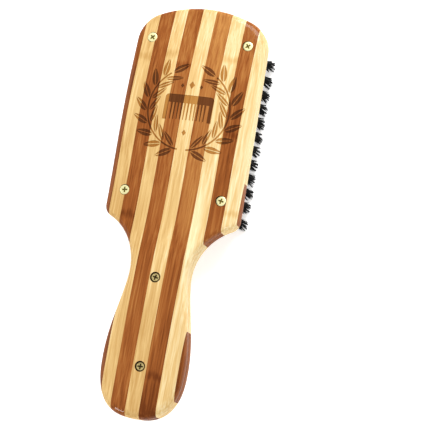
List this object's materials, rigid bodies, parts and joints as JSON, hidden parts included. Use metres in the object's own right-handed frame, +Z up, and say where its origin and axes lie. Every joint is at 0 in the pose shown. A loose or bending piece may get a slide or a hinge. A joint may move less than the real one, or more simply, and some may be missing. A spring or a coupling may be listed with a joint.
{
  "type": "beard brush",
  "caption": "Paddle-shaped beard brush with a crowned striped bamboo back, a waisted grip, brass wood screws and rows of stiff black bristle tufts on its face.",
  "frame": {"origin": "on the plane of the bristle tips, under the middle of the brush's bounding box", "axes": "+Z up out of the crowned back, +Y along the brush from the grip towards the head, +X across it to the right"},
  "size_m": [0.074, 0.2226, 0.0326],
  "materials": {
    "light_bamboo": "natural bamboo strip, clear varnished, semi-gloss",
    "dark_bamboo": "carbonised bamboo strip, clear varnished, semi-gloss",
    "bristle": "black stiff natural bristle, satin",
    "brass": "bright brass, lightly polished"
  },
  "bodies": {
    "root": {"back_strip_00_dark": "dark_bamboo", "back_strip_01_light": "light_bamboo", "back_strip_02_dark_grip": "dark_bamboo", "back_strip_02_dark_head": "dark_bamboo", "back_strip_03_light": "light_bamboo", "back_strip_04_dark": "dark_bamboo", "back_strip_05_light": "light_bamboo", "back_strip_06_dark": "dark_bamboo", "back_strip_07_light": "light_bamboo", "back_strip_08_dark_grip": "dark_bamboo", "back_strip_08_dark_head": "dark_bamboo", "back_strip_09_light": "light_bamboo", "back_strip_10_dark": "dark_bamboo", "face_strip_00_dark": "dark_bamboo", "face_strip_01_light": "light_bamboo", "face_strip_02_dark_grip": "dark_bamboo", "face_strip_02_dark_head": "dark_bamboo", "face_strip_03_light": "light_bamboo", "face_strip_04_dark": "dark_bamboo", "face_strip_05_light": "light_bamboo", "face_strip_06_dark": "dark_bamboo", "face_strip_07_light": "light_bamboo", "face_strip_08_dark_grip": "dark_bamboo", "face_strip_08_dark_head": "dark_bamboo", "face_strip_09_light": "light_bamboo", "face_strip_10_dark": "dark_bamboo", "grip_screw_end": "brass", "grip_screw_neck": "brass", "head_screw_low_left": "brass", "head_screw_low_right": "brass", "head_screw_top_left": "brass", "head_screw_top_right": "brass", "tuft_column_1": "bristle", "tuft_column_2": "bristle", "tuft_column_3": "bristle", "tuft_column_4": "bristle", "tuft_column_5": "bristle", "tuft_column_6": "bristle", "tuft_column_7": "bristle", "tuft_column_8": "bristle", "tuft_column_9": "bristle"}
  },
  "joints": []
}
